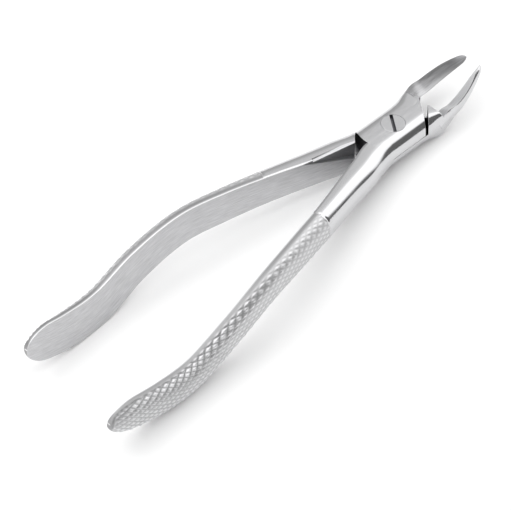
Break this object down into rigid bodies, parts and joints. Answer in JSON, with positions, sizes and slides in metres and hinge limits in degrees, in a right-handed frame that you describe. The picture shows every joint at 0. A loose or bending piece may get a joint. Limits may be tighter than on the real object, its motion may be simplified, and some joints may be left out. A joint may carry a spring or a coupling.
{
  "type": "extraction forceps",
  "caption": "Dental extraction forceps with slim curved beaks, a slotted joint screw and diamond-knurled handles.",
  "frame": {"origin": "where the hinge axis meets the flat underside of the joint", "axes": "+Z along the hinge axis towards the screw's slotted head; +X along the beaks, away from the handles; +Y towards the lower half's handle"},
  "size_m": [0.1696, 0.0452, 0.0248],
  "materials": {
    "half_steel": "polished shanks and satin inner faces",
    "screw_steel": "fine turned, flush ground head"
  },
  "bodies": {
    "lower_body": {"lower_half": "half_steel", "joint_screw": "screw_steel"},
    "upper_body": {"upper_half": "half_steel"}
  },
  "joints": [
    {"name": "hinge", "type": "hinge", "parent": "lower_body", "child": "upper_body", "pos_m": [0, 0, 0.005], "axis": [0, 0, 1], "range_deg": [-6.5, 12]}
  ]
}
